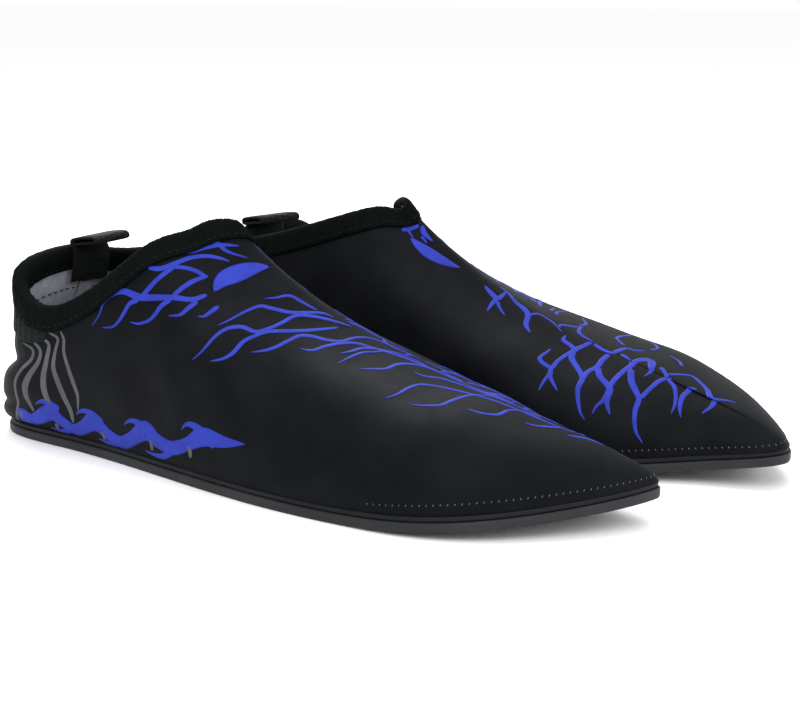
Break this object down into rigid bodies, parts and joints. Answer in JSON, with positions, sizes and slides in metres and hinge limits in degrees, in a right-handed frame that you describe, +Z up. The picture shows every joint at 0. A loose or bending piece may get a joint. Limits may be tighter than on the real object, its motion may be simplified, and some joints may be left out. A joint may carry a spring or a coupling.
{
  "type": "pair of neoprene water shoes",
  "caption": "Low slip-on stretch shoes for water sports with rubber soles, bound collars and webbing pull tabs at the heels.",
  "frame": {"origin": "centre of the pair's outline, on the ground", "axes": "+X from heels to toes, +Y from the right shoe to the left shoe, +Z up"},
  "size_m": [0.2926, 0.1802, 0.0876],
  "materials": {
    "outsole": "matte moulded rubber, dark grey",
    "midsole": "matte black foam rubber",
    "insole": "foam with a light blue-grey cloth face",
    "neoprene": "smooth knit face, near black with a soft bluish sheen",
    "binding": "matte folded stretch tape, very dark green-black",
    "elastic": "matte ribbed elastic",
    "seam_tape": "flat knitted tape",
    "webbing": "woven nylon webbing",
    "thread": "polyester thread"
  },
  "bodies": {
    "right_rear": {"right_bar_tacks": "thread", "right_collar_binding": "binding", "right_heel_panel": "elastic", "right_heel_seam_tape": "seam_tape", "right_insole_rear": "insole", "right_midsole_rear": "midsole", "right_outsole_rear": "outsole", "right_tab_tail": "webbing", "right_upper_fold": "neoprene", "right_upper_rear": "neoprene"},
    "right_toe": {"right_insole_front": "insole", "right_midsole_front": "midsole", "right_outsole_front": "outsole", "right_upper_front": "neoprene"},
    "right_tab": {"right_pull_tab": "webbing"},
    "left_rear": {"left_bar_tacks": "thread", "left_collar_binding": "binding", "left_heel_panel": "elastic", "left_heel_seam_tape": "seam_tape", "left_insole_rear": "insole", "left_midsole_rear": "midsole", "left_outsole_rear": "outsole", "left_tab_tail": "webbing", "left_upper_fold": "neoprene", "left_upper_rear": "neoprene"},
    "left_toe": {"left_insole_front": "insole", "left_midsole_front": "midsole", "left_outsole_front": "outsole", "left_upper_front": "neoprene"},
    "left_tab": {"left_pull_tab": "webbing"}
  },
  "joints": [
    {"name": "right_toe_flex", "type": "hinge", "parent": "right_rear", "child": "right_toe", "pos_m": [0.04499, -0.04589, 0.0088], "axis": [0, -1, 0], "range_deg": [0, 35], "stiffness_Nm_per_rad": 0.3, "deforming": ["right_upper_fold"]},
    {"name": "right_tab_hinge", "type": "hinge", "parent": "right_rear", "child": "right_tab", "pos_m": [-0.1172, -0.03865, 0.07365], "axis": [0.1251, -0.9921, 0], "range_deg": [-25, 90], "stiffness_Nm_per_rad": 0.01},
    {"name": "left_toe_flex", "type": "hinge", "parent": "left_rear", "child": "left_toe", "pos_m": [0.06484, 0.04498, 0.0088], "axis": [-0.0401, -0.9992, 0], "range_deg": [0, 35], "stiffness_Nm_per_rad": 0.3, "deforming": ["left_upper_fold"]},
    {"name": "left_tab_hinge", "type": "hinge", "parent": "left_rear", "child": "left_tab", "pos_m": [-0.09752, 0.04426, 0.07365], "axis": [-0.1648, -0.9863, 0], "range_deg": [-25, 90], "stiffness_Nm_per_rad": 0.01},
    {"name": "left_lift", "type": "slide", "parent": "right_rear", "child": "left_rear", "axis": [0, 0, 1], "range_m": [0, 0.12]}
  ]
}
